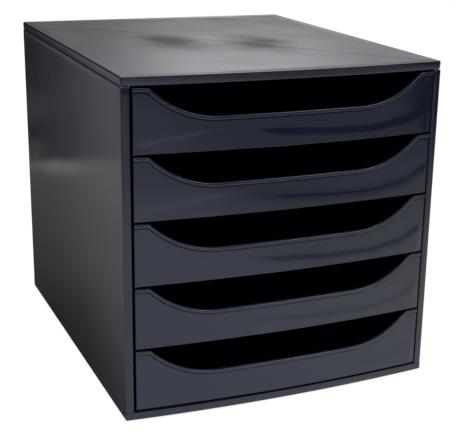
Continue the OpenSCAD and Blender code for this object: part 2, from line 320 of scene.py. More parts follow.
lid_step = 4
lid_us = [value / half_w for value in steps_from_edge(half_w, lid_step)]
lid_depth = rear_y - front_y
lid_vs = [(value + lid_depth / 2) / lid_depth for value in steps_from_edge(lid_depth / 2, lid_step)]
edge_r, side_edge_r = 0.6, 1.3
lower_r, side_lower_r = 0.9, 0.4
corner_r, inner_corner_r = 1.8, 1.0
fascia_draft = 0.32
bm = bmesh.new()
outside = []
for drop in (0.0, 0.02, 0.08, 0.18, 0.33, 0.6, 0.9, side_edge_r):
    side_in, front_in = (r - math.sqrt(r * r - max(0.0, r - drop) ** 2) for r in (side_edge_r, edge_r))
    outside.append(bowed_ring(lid_us, lid_vs, top_z - drop, side_in, front_in, front_in, corner_r - side_in))
for turn in (math.radians(a) for a in (0, 30, 60, 90)):
    side_in, front_in = (r * (1 - math.cos(turn)) for r in (side_lower_r, lower_r))
    z = skirt_z + lower_r * (1 - math.sin(turn))
    outside.append(bowed_ring(lid_us, lid_vs, z, side_in, front_in + fascia_draft, side_in, corner_r))
for z in (skirt_z, top_z - plate_t):
    outside.append(bowed_ring(lid_us, lid_vs, z, skirt_t, rail_t, skirt_t, inner_corner_r))
skin = loft(bm, outside, cap_first=False)
# The plate's upper face is a grid that shares the first ring's points. It sinks a
# little inside its rim, with the faint waves of a large moulding.
sink_depth, sink_swing, least_sink, rim_w = 0.19, 0.09, 0.01, 10
nu, nv = len(lid_us), len(lid_vs)
grid = {(i, 0): skin[0][i] for i in range(nu)}
grid.update({(nu - 1, j): skin[0][nu - 1 + j] for j in range(1, nv)})
grid.update({(nu - 1 - k, nv - 1): skin[0][nu + nv - 2 + k] for k in range(1, nu)})
grid.update({(0, nv - 1 - k): skin[0][2 * nu + nv - 3 + k] for k in range(1, nv - 1)})
for i in range(1, nu - 1):
    for j in range(1, nv - 1):
        x = lid_us[i] * (half_w - side_edge_r)
        low_y = bow(x, edge_r)
        y = low_y + (rear_y - edge_r - low_y) * lid_vs[j]
        rim = min(half_w - abs(x), y - bow(x), rear_y - y)
        fade = min(1.0, max(0.0, (rim - edge_r) / rim_w))
        fade = fade * fade * (3 - 2 * fade)
        sink = sink_depth + sink_swing * (waves(x, y, 62, 1.7) + 0.5 * waves(x, y, 31, 5.1))
        grid[i, j] = bm.verts.new((x, y, top_z - fade * max(least_sink, sink)))
for i in range(nu - 1):
    for j in range(nv - 1):
        bm.faces.new((grid[i, j], grid[i + 1, j], grid[i + 1, j + 1], grid[i, j + 1]))
# The two ribs under the plate, from corner to corner.
rib_t, rib_h, rib_end_gap = 1.6, 2.4, 2
for turn in (1, -1):
    reach = Vector((rib_reach.x, turn * rib_reach.y))
    lengthwise = reach.normalized()
    across = Vector((-lengthwise.y, lengthwise.x))
    ends = []
    for end in (rib_end_gap - reach.length, reach.length - rib_end_gap):
        centre = lengthwise * end + Vector((0, rib_middle))
        corners = ((-1, 1), (-0.75, -rib_h), (0.75, -rib_h), (1, 1))
        spots = [(centre + across * side * rib_t / 2, top_z - plate_t + up) for side, up in corners]
        ends.append([(spot.x, spot.y, z) for spot, z in spots])
    loft(bm, ends)
lid = make_piece("lid", bm, lid_plastic)
fit(lid, "casing", "top_panel")


# ---------------------------------------------------------------- side panels
# Each side is one moulding: a 2.5 mm skin with a front post, a rear flange and a
# ledge on the base. Its upper edge fits inside the lid's skirt, and its skin is not
# quite flat, as large moulded panels never are.
base_z = node_box("right_side_panel")[0].z
side_wall, play = 2.5, 0.1
inner_x = half_w - side_wall
post_w, post_t, post_r = 6.6, 2.6, 0.9
flange_w, flange_t, back_t = 6.0, 2.0, 2.0
ledge_z, ledge_t, ledge_w = 6.0, 1.8, 5.0
lap_in, lap_front, notch_front = 1.3, 3.15, 3.1
rail_top = 8.0
seam = 0.3
round_steps, skin_steps, level_count = 6, 58, 46
rear_r = 0.7
# The skin sinks by about a seventh of a millimetre, except near its rim.
skin_dip, skin_swing, skin_rim = 0.14, 0.10, 14


def side_section(z, notch, lap, pull):
    """The side panel seen from above at height z: a skin with its post and flanges.
    A notch leaves room for the base's rail, a lap for the lid's skirt."""
    outer, far, low = half_w - pull, rear_y - pull, min(pull, 0.35)
    if lap:
        outer, far, low = half_w - lap_in, rear_y - lap_in, lap_front
    if notch:
        low = notch_front
    start = bow(outer, low) + post_r
    points = []
    for k in range(round_steps):
        turn = math.radians(90 * k / round_steps)
        x = outer - post_r * (1 - math.sin(turn))
        points.append((x, bow(x, low) + post_r * (1 - math.cos(turn))))
    points.append((outer, start))
    for k in range(1, skin_steps):
        y = start + (far - rear_r - start) * k / skin_steps
        fade = min(1.0, (y - start) / skin_rim, (far - y) / skin_rim)
        rise = min(1.0, max(0.0, (z - base_z - 1) / skin_rim), max(0.0, (skirt_z - z - 1) / skin_rim))
        dip = skin_dip + skin_swing * waves(y, z, 66, 9.3) + skin_swing / 2 * waves(y, z, 32, 2.2)
        points.append((outer - fade * rise * dip, y))
    points += [(outer, far - rear_r), (outer - 0.2, far - 0.2), (outer - rear_r, far)]
    flange_x = half_w - flange_w
    points += [(flange_x, far), (flange_x, rear_y - flange_t), (inner_x, rear_y - flange_t)]
    rib_y = rear_y - flange_t - back_t - play
    points += [(inner_x, rib_y), (flange_x, rib_y), (flange_x, rib_y - ledge_t), (inner_x, rib_y - ledge_t)]
    post_x = half_w - post_w
    if notch or lap:
        points += [(inner_x, bow(inner_x, low))] * 6
    else:
        points += [(inner_x, bow(inner_x, post_t)), (post_x, bow(post_x, post_t))]
        points += [(post_x, bow(post_x, low) + 0.4), (post_x + 0.1, bow(post_x, low) + 0.1)]
        points += [(post_x + 0.4, bow(post_x + 0.4, low)), (post_x + 3, bow(post_x + 3, low))]
    return [(x, y, z) for x, y in points]


# A level is a height, whether it has the notch or the lap, and how far it is set in.
side_top = skirt_z - seam
levels = [(base_z, True, False, 0.35), (base_z + 0.35, True, False, 0.0), (rail_top, True, False, 0.0)]
levels += [(rail_top, False, False, 0.22), (rail_top + 0.25, False, False, 0.0)]
skin_heights = [rail_top + (side_top - rail_top) * k / level_count for k in range(1, level_count)]
levels += [(z, False, False, 0.0) for z in skin_heights]
levels += [(side_top - 0.7, False, False, 0.0), (side_top - 0.55, False, False, 0.06)]
levels += [(side_top, False, False, 0.6), (side_top, False, True, 0.0), (top_z - plate_t, False, True, 0.0)]
sections = [side_section(*level) for level in levels]
ledge = [(inner_x - ledge_w, ledge_z), (inner_x + 1, ledge_z)]
ledge += [(inner_x + 1, ledge_z + ledge_t), (inner_x - ledge_w, ledge_z + ledge_t)]
ledge_ends = (front_y + front_bow + rail_t + play, rear_y - flange_t - back_t - 2 * play)
for side, name in ((1, "right"), (-1, "left")):
    bm = bmesh.new()
    loft(bm, [[(side * x, y, z) for x, y, z in section] for section in sections])
    loft(bm, [[(side * x, y, z) for x, z in ledge] for y in ledge_ends])
    panel = make_piece(name + "_side_moulding", bm, satin_plastic)
    fit(panel, "casing", name + "_side_panel")


# ---------------------------------------------------------------- back panel
# A plain 2 mm sheet of the same plastic, slid down between the side panels' rear
# flanges and ribs until it stands on the base.
back_low, back_high = node_box("back_panel")
columns, rows, flat_cells = 24, 24, 3
bm = bmesh.new()
sheet = []
for front in (True, False):
    for j in range(rows + 1):
        z = back_low.z + (back_high.z - back_low.z) * j / rows
        strip = []
        for i in range(columns + 1):
            x = back_low.x + (back_high.x - back_low.x) * i / columns
            inside = min(1.0, min(i, columns - i, j, rows - j) / flat_cells)
            dip = inside * (skin_dip + skin_swing * waves(x, z, 80, 3.3))
            strip.append((x, back_low.y + dip if front else back_high.y - dip, z))
        sheet.append(strip if front else strip[::-1])
rings = [sheet[j] + sheet[rows + 1 + j] for j in range(rows + 1)]
near_far = loft(bm, rings, cap_first=False, cap_last=False)
for rim in (near_far[0], near_far[-1]):
    for i in range(columns):
        bm.faces.new((rim[i], rim[i + 1], rim[-2 - i], rim[-1 - i]))
back = make_piece("back_sheet", bm, satin_plastic)
round_edges(back, 0.3)
fit(back, "casing", "back_panel")


# ---------------------------------------------------------------- base panel
# The bottom moulding: a plate between the side panels, with a rim and four foot
# pockets underneath, and a front rail that runs across under the posts.
base_high = node_box("base_panel")[1]
plate_top, plate_z, rim_t, rim_r = 6.0, 3.5, 2.0, 0.3
rail_h, rail_end_r, plate_front_in = 6.5, 0.7, 0.5
pocket_r, boss_r = 7.1, 9.1
bm = bmesh.new()
side_in = half_w - (inner_x - play)
back_in = rear_y - base_high.y
us = [k / 30 for k in range(-30, 31)]
vs = [k / 20 for k in range(21)]
under = [(plate_top, 0.0), (base_z + rim_r, 0.0), (base_z, rim_r), (base_z, rim_t), (plate_z, rim_t)]
plate = [
    bowed_ring(us, vs, z, side_in + inset, plate_front_in + inset, back_in + inset, 0)
    for z, inset in under
]
loft(bm, plate)
# The front rail, a bar that follows the bow and has softly rounded edges and ends.
rail_front = [(0.0, rail_h - 0.4), (0.0, 0.55), (0.16, 0.16), (0.55, 0.0)]
rail_back = [(rail_t - 0.3, 0.0), (rail_t, 0.3), (rail_t, rail_h - 0.3), (rail_t - 0.3, rail_h)]
rail_back += [(0.4, rail_h), (0.1, rail_h - 0.1)]
rail_half = [half_w - gap for gap in (0, 0.12, 0.3, 0.7, 1.4)]
rail_half += [rail_half[-1] * (1 - k / 28) for k in range(1, 29)]
rings = []
for x in [-x for x in rail_half] + rail_half[::-1][1:]:
    lacking = max(0.0, rail_end_r - (half_w - abs(x)))
    tuck = rail_end_r - math.sqrt(rail_end_r * rail_end_r - lacking * lacking)
    ring = []
    for depth, up in rail_front + rail_back:
        depth = min(max(depth, tuck), rail_t - tuck)
        ring.append((x, bow(x, depth), base_z + min(max(up, tuck * 0.6), rail_h - tuck * 0.6)))
    rings.append(ring)
loft(bm, rings)
feet = {name: node_box("foot_" + name) for name in ("front_left", "front_right", "rear_left", "rear_right")}
for foot_low, foot_high in feet.values():
    middle = (foot_low + foot_high) / 2
    ceiling = foot_high.z + 0.05
    pocket = [(pocket_r, base_z), (boss_r, base_z), (boss_r, plate_z + 0.2)]
    pocket += [(0, plate_z + 0.2), (0, ceiling), (pocket_r, ceiling)]
    turns = [2 * math.pi * k / 40 for k in range(41)]
    spun = [[(middle.x + r * math.cos(t), middle.y + r * math.sin(t), z) for r, z in pocket] for t in turns]
    loft(bm, spun, cap_first=False, cap_last=False)
base = make_piece("base_moulding", bm, satin_plastic)
fit(base, "casing", "base_panel")


# ---------------------------------------------------------------- rubber feet
# Four round feet of matt black rubber, pressed into the pockets under the base, with
# a rounded lower edge and a shallow cup in the sole.
rubber_material, rubber_tree, rubber = blank_material("matt black rubber")
rubber_place = add_node(rubber_tree, "ShaderNodeTexCoord").outputs["Object"]
# A moulded rubber's chalky grain, about half a millimetre.
chalk_size, chalk_depth = 0.6 * mm, 0.1 * mm
rubber_grain = add_node(
    rubber_tree, "ShaderNodeTexNoise", Vector=rubber_place, Scale=1 / chalk_size, Detail=3.0
).outputs["Fac"]
shades = {"_6": paint("#121212"), "_7": paint("#1D1D1D")}
rubber_tint = add_node(
    rubber_tree, "ShaderNodeMix", {"data_type": "RGBA"}, _0=rubber_grain, **shades
).outputs[2]
rubber_tree.links.new(rubber_tint, rubber.inputs["Base Color"])
rubber.inputs["Roughness"].default_value = 0.75
rubber_bump = add_node(
    rubber_tree, "ShaderNodeBump", Strength=0.4, Distance=chalk_depth, Height=rubber_grain
)
rubber_tree.links.new(rubber_bump.outputs["Normal"], rubber.inputs["Normal"])
for name, (foot_low, foot_high) in feet.items():
    middle = (foot_low + foot_high) / 2
    r = (foot_high.x - foot_low.x) / 2
    foot_profile = [(0, 0.35), (r - 3.2, 0.35), (r - 2.4, 0.2), (r - 2.0, 0), (r - 0.7, 0), (r - 0.2, 0.2)]
    foot_profile += [(r, 0.7), (r, foot_high.z), (0, foot_high.z)]
    turns = [2 * math.pi * k / 48 for k in range(49)]
    bm = bmesh.new()
    spun = [
        [(middle.x + d * math.cos(t), middle.y + d * math.sin(t), z) for d, z in foot_profile]
        for t in turns
    ]
    loft(bm, spun, cap_first=False, cap_last=False)
    foot = make_piece("rubber_foot_" + name, bm, rubber_material)
    fit(foot, "casing", "foot_" + name)


# ---------------------------------------------------------------- runners
# Ten straight mouldings of the same plastic, fixed inside the side panels. A
# drawer's flange slides between the two lips, which start short to lead it in, and
# a row of small ribs carries the lower lip.
rib_row = bpy.data.node_groups.new("ribs under a lip", "GeometryNodeTree")
rib_row.interface.new_socket("Geometry", in_out="INPUT", socket_type="NodeSocketGeometry")
rib_inputs = {}
for name, kind in (
    ("Count", "NodeSocketInt"),
    ("First", "NodeSocketVector"),
    ("Pitch", "NodeSocketVector"),
    ("Rib Size", "NodeSocketVector"),
    ("Plastic", "NodeSocketMaterial"),
):
    rib_inputs[name] = rib_row.interface.new_socket(name, in_out="INPUT", socket_type=kind).identifier
rib_row.interface.new_socket("Geometry", in_out="OUTPUT", socket_type="NodeSocketGeometry")
given = add_node(rib_row, "NodeGroupInput").outputs
rib_spots = add_node(
    rib_row, "GeometryNodeMeshLine",
    Count=given["Count"], Start_Location=given["First"], Offset=given["Pitch"],
).outputs["Mesh"]
rib = add_node(rib_row, "GeometryNodeMeshCube", Size=given["Rib Size"]).outputs["Mesh"]
copies = add_node(
    rib_row, "GeometryNodeInstanceOnPoints", Points=rib_spots, Instance=rib
).outputs["Instances"]
both = add_node(rib_row, "GeometryNodeJoinGeometry", Geometry=given["Geometry"])
rib_row.links.new(copies, both.inputs["Geometry"])
solid = add_node(
    rib_row, "GeometryNodeRealizeInstances", Geometry=both.outputs["Geometry"]
).outputs["Geometry"]
dressed = add_node(rib_row, "GeometryNodeSetMaterial", Geometry=solid, Material=given["Plastic"])
add_node(rib_row, "NodeGroupOutput", Geometry=dressed.outputs["Geometry"])

web_t, lip_t, web_lip, channel = 1.6, 1.8, 1.8, 2.4
guide_w = 8.5
rib_count, rib_w, rib_drop, rib_gap = 12, 1.2, 4.6, 1
lead_in, lead_short, lead_start = 14.0, 0.08, (3.0, 0.12)
for side_name, side in (("left", -1), ("right", 1)):
    for number in range(1, 6):
        node = f"{side_name}_runner_{number}"
        low, high = node_box(node)
        tip = min(abs(low.x), abs(high.x))
        guide_tip = inner_x - guide_w
        upper = high.z - web_lip - lip_t
        lower = upper - channel - lip_t
        web_x = inner_x - web_t
        sections = []
        # Each section is a distance from the front end and a share of the lips' width.
        for run, share in ((0.0, lead_short), lead_start, (lead_in, 1.0), (high.y - low.y, 1.0)):
            upper_tip, lower_tip = (web_x + (full - web_x) * share for full in (guide_tip, tip))
            section = [(inner_x, low.z), (inner_x, high.z), (web_x, high.z), (web_x, upper + lip_t)]
            section += [(upper_tip, upper + lip_t), (upper_tip, upper)]
            section += [(web_x, upper), (web_x, lower + lip_t)]
            section += [(lower_tip, lower + lip_t), (lower_tip, lower), (web_x, lower), (web_x, low.z)]
            sections.append([(side * x, low.y + run, z) for x, z in section])
        bm = bmesh.new()
        loft(bm, sections)
        runner = make_piece(node + "_moulding", bm, satin_plastic)
        rib_d = web_x - tip - rib_gap
        ribs = runner.modifiers.new("ribs under the lower lip", "NODES")
        ribs.node_group = rib_row
        pitch = (high.y - low.y) / rib_count
        first = (side * (web_x - rib_d / 2), low.y + pitch / 2, lower - rib_drop / 2)
        ribs[rib_inputs["Count"]] = rib_count
        ribs[rib_inputs["First"]] = tuple(value * mm for value in first)
        ribs[rib_inputs["Pitch"]] = (0.0, pitch * mm, 0.0)
        ribs[rib_inputs["Rib Size"]] = (rib_d * mm, rib_w * mm, rib_drop * mm)
        ribs[rib_inputs["Plastic"]] = satin_plastic
        settle(runner)
        round_edges(runner, 0.25)
        fit(runner, "casing", node)


# ---------------------------------------------------------------- drawers
# Five equal trays from one mould, in glossy polystyrene. The bowed front has a wide
# curved finger opening with a bead along its upper edge, the tray behind it a
# flange that rides in the runners, and each side wall a springy stop catch.
drawer_low, drawer_high = node_box("drawer_5")
front_h = drawer_high.z - drawer_low.z
front_reach, side_r = 133.9, 0.9
face_depth, face_back, face_steps = 0.8, 3.2, 40
opening_z, opening_flat, opening_r = 28.0, 63.0, 80.0
shoulder_r, bead_h, back_bead_h = 1.0, 4.1, 3.4
swell_rim = 7
side_play = 1.0


def front_edge(x):
    """Height of the front's upper edge over the drawer's underside at x."""
    run = min(max(abs(x) - opening_flat, 0.0), opening_r * 0.96)
    arc = opening_z + opening_r - math.sqrt(opening_r * opening_r - run * run)
    return (arc + front_h) / 2 - math.sqrt((arc - front_h) ** 2 / 4 + shoulder_r * shoulder_r)


# The long step in the face: its height over the foot, half its width and its depth,
# each at a few places along the front.
crest_line = [(-134, 7), (-100, 12.5), (-68, 17), (-40, 15.5), (0, 11.5)]
crest_line += [(42, 9.2), (75, 8.8), (105, 12.7), (134, 24)]
crest_width = [(-134, 2.1), (-60, 1.6), (0, 2.9), (75, 3.1), (134, 3.6)]
crest_step = [(-134, 0.46), (-90, 0.30), (-45, 0.0), (0, -0.66), (75, -0.70), (134, -0.70)]


def eased(line, x):
    """The value of a line of (place, value) points at x, eased from point to point."""
    for (x0, v0), (x1, v1) in zip(line, line[1:]):
        if x <= x1:
            t = max(0.0, (x - x0) / (x1 - x0))
            return v0 + (v1 - v0) * t * t * (3 - 2 * t)
    return line[-1][1]


def swell(x, z):
    """How far the front's face swells forward at a point, in mm. Where the plastic
    shrank over the floor and the opening, it left a long soft step near the foot."""
    step = math.tanh((z - eased(crest_line, x)) / eased(crest_width, x))
    return eased(crest_step, x) / 2 * (step - 1) + 0.02 * waves(x, z, 45, 4.4)


def front_column(x):
    """The closed outline of the front at x, from the upper edge down the face and
    up the back: y and z over the drawer's underside."""
    gap = front_reach - abs(x)
    lacking = max(0.0, side_r - gap)
    tuck = side_r - math.sqrt(side_r * side_r - lacking * lacking)
    slope = (front_edge(x + 0.05) - front_edge(x - 0.05)) / 0.1
    lean = math.sqrt(1 + slope * slope)
    top = front_edge(x) - 0.3 * tuck
    bead = [(0, 1.0), (0.06, 0.66), (0.17, 0.38), (0.32, 0.18), (0.5, 0.06), (0.75, 0), (1.6, 0)]
    bead += [(2.45, 0.02), (2.85, 0.14), (3.0, 0.6), (3.15, 1.15), (3.35, 1.25), (3.55, 1.15)]
    bead += [(3.65, 0.95), (3.8, 0.82), (bead_h, face_depth)]
    points = [(depth + tuck, top - down * lean) for down, depth in bead]
    face_top, face_low = top - bead_h * lean, 0.45 + 0.3 * tuck
    fade = min(1.0, gap / swell_rim)
    fade = fade * fade * (3 - 2 * fade)
    for k in range(1, face_steps + 1):
        z = face_top + (face_low - face_top) * k / face_steps
        points.append((face_depth + tuck - fade * swell(x, z), z))
    foot_depth = points[-1][0] - tuck
    foot = [(foot_depth + 0.25, 0.12), (foot_depth + 0.6, 0), (2.6, 0), (3.0, 0.3), (face_back, 0.8)]
    points += [(min(depth + tuck, face_back - 0.1 * tuck), up + 0.3 * tuck) for depth, up in foot]
    back_top = top - back_bead_h * lean
    points += [(face_back - 0.1 * tuck, 0.8 + (back_top - 0.8) * k / 6) for k in range(1, 7)]
    back_bead = [(2.9, 3.4), (2.5, 3.8), (1.9, 4.0), (0.6, 4.0), (0.15, 3.8), (0, 3.3)]
    points += [(depth - 0.4 * tuck, top - down * lean) for down, depth in back_bead]
    return [(x, bow(x, depth), z) for depth, z in points]


glossy_plastic, glossy_tree, glossy = blank_material("glossy moulded polystyrene")
# Polystyrene from a polished mould: blue-black and glossy, with the long soft flow
# marks that run along a moulded front and a barely uneven polish.
gloss_place = add_node(glossy_tree, "ShaderNodeTexCoord").outputs["Object"]
# A flow mark is about 110 mm long and 17 mm high.
streaks_per_metre = (9.0, 9.0, 60.0)
stretched = add_node(glossy_tree, "ShaderNodeMapping", Vector=gloss_place, Scale=streaks_per_metre)
streak = add_node(
    glossy_tree, "ShaderNodeTexNoise", Vector=stretched.outputs["Vector"], Scale=1.0, Detail=2.0
).outputs["Fac"]
streak = add_node(
    glossy_tree, "ShaderNodeMapRange", Value=streak, From_Min=0.3, From_Max=0.7
).outputs["Result"]
shades = {"_6": paint("#151A28"), "_7": paint("#191E2E")}
gloss_tint = add_node(glossy_tree, "ShaderNodeMix", {"data_type": "RGBA"}, _0=streak, **shades).outputs[2]
glossy_tree.links.new(gloss_tint, glossy.inputs["Base Color"])
polish = add_node(
    glossy_tree, "ShaderNodeMapRange", Value=streak, To_Min=0.09, To_Max=0.12
).outputs["Result"]
glossy_tree.links.new(polish, glossy.inputs["Roughness"])
glossy.inputs["IOR"].default_value = 1.5
ripple_size, ripple_depth = 6 * mm, 0.1 * mm
ripple = add_node(
    glossy_tree, "ShaderNodeTexNoise", Vector=gloss_place, Scale=1 / ripple_size, Detail=1.0
).outputs["Fac"]
soft = add_node(glossy_tree, "ShaderNodeBump", Strength=0.1, Distance=ripple_depth, Height=ripple)
glossy_tree.links.new(soft.outputs["Normal"], glossy.inputs["Normal"])

# The tray: its wall, flange and floor edge are one section that runs round the left
# side, the rear and the right side, and its floor closes the ring. A station is a
# place on the tray's outline and the way out of the tray there.
tray_x, tray_rear, tray_r, tray_front_in = 129.0, 162.2, 8.0, 2.0
wall_h, wall_t, floor_t = 45.0, 2.0, 2.0
floor_in, floor_r = 5.0, 3.0
flange_out, flange_under = 4.8, 43.2
wall_steps, bend_steps, rear_steps = 10, 8, 5
tray_front = bow(tray_x, tray_front_in)
wall_l = tray_rear - tray_r - tray_front
stations = [(-tray_x, tray_front + wall_l * k / wall_steps, -1.0, 0.0) for k in range(wall_steps + 1)]
for k in range(1, bend_steps):
    turn = math.radians(90 * k / bend_steps)
    out_x, out_y = -math.cos(turn), math.sin(turn)
    stations.append((tray_r - tray_x + tray_r * out_x, tray_rear - tray_r + tray_r * out_y, out_x, out_y))
stations += [((tray_x - tray_r) * (k / rear_steps - 1), tray_rear, 0.0, 1.0) for k in range(rear_steps + 1)]
stations += [(-x, y, -out_x, out_y) for x, y, out_x, out_y in stations[-2::-1]]
section = [(-floor_in, floor_t)]
for k in range(1, 7):
    turn = math.radians(15 * k)
    section.append((floor_r * math.sin(turn) - floor_in, floor_t + floor_r - floor_r * math.cos(turn)))
section += [(-wall_t, wall_h - 0.4), (0.4 - wall_t, wall_h), (flange_out - 0.3, wall_h)]
section += [(flange_out, wall_h - 0.3), (flange_out, flange_under + 0.3), (flange_out - 0.3, flange_under)]
section += [(0.3, flange_under), (0.0, flange_under - 0.3)]
section += [(0.0, 1.5), (-0.4, 0.5), (-1.5, 0.0), (-floor_in, 0.0)]
bm = bmesh.new()
strips = loft(bm, [
    [(x + out_x * out, y + out_y * out, z) for out, z in section] for x, y, out_x, out_y in stations
], closed=False)
# The floor's front end follows the bow, inside the front.
lip = [(x, bow(x, tray_front_in)) for x in range(120, -121, -10)]
upper_lip = [bm.verts.new((x, y, floor_t)) for x, y in lip]
lower_lip = [bm.verts.new((x, y, 0.0)) for x, y in lip]
upper_lip = [strips[-1][0]] + upper_lip + [strips[0][0]]
lower_lip = [strips[-1][-1]] + lower_lip + [strips[0][-1]]
for i in range(len(upper_lip) - 1):
    bm.faces.new((upper_lip[i], upper_lip[i + 1], lower_lip[i + 1], lower_lip[i]))
bm.faces.new([strip[0] for strip in strips] + upper_lip[1:-1])
bm.faces.new([strip[-1] for strip in strips] + lower_lip[1:-1])
bm.faces.new(strips[0])
bm.faces.new(strips[-1])
tray = make_piece("tray", bm, glossy_plastic)
# The slots that free a springy tongue in each side wall.
tongue_y, tongue_end, tongue_low, tongue_high, slot_w = 75.9, 109.9, 12.0, 24.0, 1.2
slot_outline = [(tongue_y, tongue_low - slot_w), (tongue_end + slot_w, tongue_low - slot_w)]
slot_outline += [(tongue_end + slot_w, tongue_high + slot_w), (tongue_y, tongue_high + slot_w)]
slot_outline += [(tongue_y, tongue_high), (tongue_end, tongue_high)]
slot_outline += [(tongue_end, tongue_low), (tongue_y, tongue_low)]
bm = bmesh.new()
for side in (1, -1):
    loft(bm, [[(side * x, y, z) for y, z in slot_outline] for x in (tray_x - 4, tray_x + 2)])
slots = make_piece("slots", bm, glossy_plastic)
cut = tray.modifiers.new("tongue slots", "BOOLEAN")
cut.operation = "DIFFERENCE"
cut.solver = "EXACT"
cut.object = slots
settle(tray)
bm = bmesh.new()
bm.from_mesh(tray.data)
bmesh.ops.scale(bm, vec=(1 / mm, 1 / mm, 1 / mm), verts=bm.verts)
bpy.data.objects.remove(tray)
bpy.data.objects.remove(slots)
# The front, the wedges of the catches and a small pip on each shoulder of the front.
# The front's columns stand closer together near its sides.
near_side = [0, 0.04, 0.12, 0.28, 0.5, 0.9, 1.5, 2.6, 4, 5.5, *range(7, 18), 18.5, 20]
half_front = [front_reach - gap for gap in near_side]
half_front += [half_front[-1] * (1 - k / 34) for k in range(1, 35)]
loft(bm, [front_column(x) for x in [-x for x in half_front] + half_front[::-1][1:]])
catch_tip, catch_y, catch_t, catch_low, catch_high = 137.0, 105.7, 3.0, 13.2, 22.8
wedge = [(tray_x - 1, catch_y), (catch_tip - 0.4, catch_y), (catch_tip, catch_y + 0.4)]
wedge += [(catch_tip, catch_y + 1.2), (tray_x + 1, catch_y + catch_t), (tray_x - 1, catch_y + catch_t)]
for side in (1, -1):
    loft(bm, [[(side * x, y, z) for x, y in wedge] for z in (catch_low, catch_high)])
pip_x, pip_z, pip_w, pip_h = 127.0, 45.5, 1.9, 4.2
for side in (1, -1):
    pip = []
    for proud, inset in ((-0.3, 0.0), (0.05, 0.0), (0.4, 0.45)):
        x0, x1 = (side * pip_x + way * (pip_w / 2 - inset) for way in (-1, 1))
        z0, z1 = (pip_z + way * (pip_h / 2 - inset) for way in (-1, 1))
        corners = ((x0, z0), (x1, z0), (x1, z1), (x0, z1))
        pip.append([(x, bow(x, face_depth - proud), z) for x, z in corners])
    loft(bm, pip)
mould = make_piece("drawer_mould", bm, glossy_plastic)
drawer_mesh = mould.data
bpy.data.objects.remove(mould)
for number in range(1, 6):
    mesh = drawer_mesh.copy()
    # A drawer has a little play in its runners, and sits to the right in it.
    mesh.transform(Matrix.Translation((side_play * mm, 0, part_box(f"drawer_{number}")[0].z)))
    drawer = bpy.data.objects.new(f"drawer_{number}_moulding", mesh)
    bpy.context.scene.collection.objects.link(drawer)
    fit(drawer, f"drawer_{number}", f"drawer_{number}")


# ---------------------------------------------------------------- floor and light
# A pale floor that runs out of sight under plain soft studio light. What shines in the
# plastic is a dim room that only reflections show, painted as glow on the floor and in
# the world: a painted cool pool of light on the floor in front, a dimmer floor beside with painted shade,
# and a soft glow behind and overhead.
# The floor reaches six metres each way.
floor_reach = 6
bm = bmesh.new()
for x, y in ((-1, -1), (1, -1), (1, 1), (-1, 1)):
    bm.verts.new((x * floor_reach, y * floor_reach, 0))
bm.faces.new(bm.verts)
mesh = bpy.data.meshes.new("floor")
bm.to_mesh(mesh)
bm.free()
floor = bpy.data.objects.new("floor", mesh)
bpy.context.scene.collection.objects.link(floor)
floor_material = bpy.data.materials.new("pale floor")
floor_material.use_nodes = True
floor_tree = floor_material.node_tree
floor_tree.nodes.clear()
mesh.materials.append(floor_material)


def soft_patches(tree, place, patches):
    """Adds up soft patches of brightness. Each is a strength and its edges, and an
    edge is a direction, how far along it the patch begins and where it is full."""
    total = 0.0
    for strength, *edges in patches:
        patch = strength
        for facing, start, end in edges:
            reach = add_node(
                tree, "ShaderNodeVectorMath", {"operation": "DOT_PRODUCT"}, _0=place, _1=facing
            )
            fade = add_node(
                tree, "ShaderNodeMapRange", {"interpolation_type": "SMOOTHSTEP"},
                Value=reach.outputs["Value"], From_Min=start, From_Max=end,
            )
            patch = add_node(
                tree, "ShaderNodeMath", {"operation": "MULTIPLY"}, _0=patch, _1=fade.outputs["Result"]
            ).outputs["Value"]
        total = add_node(
            tree, "ShaderNodeMath", {"operation": "ADD"}, _0=total, _1=patch
        ).outputs["Value"]
    return total


# Edges on the floor, in metres, of painted reflections that only glossy rays see. The
# painted pool of light in front ends under two metres away, and the far edge of a dim
# band lies behind on the left. An edge along a slanting direction looks upright in the casing's left side.
front = ((0, -1, 0), 0.15, 0.178)
beside = ((0, 1, 0), -0.178, -0.15)
left = ((-1, 0, 0), -0.10, 0.05)
pool_end = ((0, 1, 0), -1.95, -1.40)
pool_side = ((1, 0, 0), -0.95, -0.55)
pool_left = ((-1, 0, 0), -0.25, -0.03)
near = ((0, 1, 0), -0.95, -0.30)
dim_band_end = ((0, -1, 0), -0.725, -0.69)
past_dim_band = ((0, 1, 0), 0.70, 0.74)
glint_sides = (((-1, 0, 0), 0.262, 0.285), ((1, 0, 0), -0.335, -0.305))
aslant, aslant_back = (-4.06, -1, 0), (4.06, 1, 0)
cool_patches = (
    # The painted pool of light, brightest near the stack.
    (0.03, front),
    (0.40, front, pool_end, pool_side, ((-1, -0.5, 0), -0.45, -0.33)),
    (0.77, front, pool_side, near, ((-1, 0, 0), -0.30, -0.05)),
    (0.27, front, pool_end, pool_side, ((0, -1, 0), 0.45, 0.80), pool_left),
    (0.18, front, pool_side, ((0, 1, 0), -1.10, -0.70), ((0, -1, 0), 0.35, 0.60), pool_left),
    # Painted light far off on the left, past the dim band.
    (0.18, past_dim_band, ((-1, 0, 0), 0.20, 0.38), (aslant, 0.15, 0.95)),
)
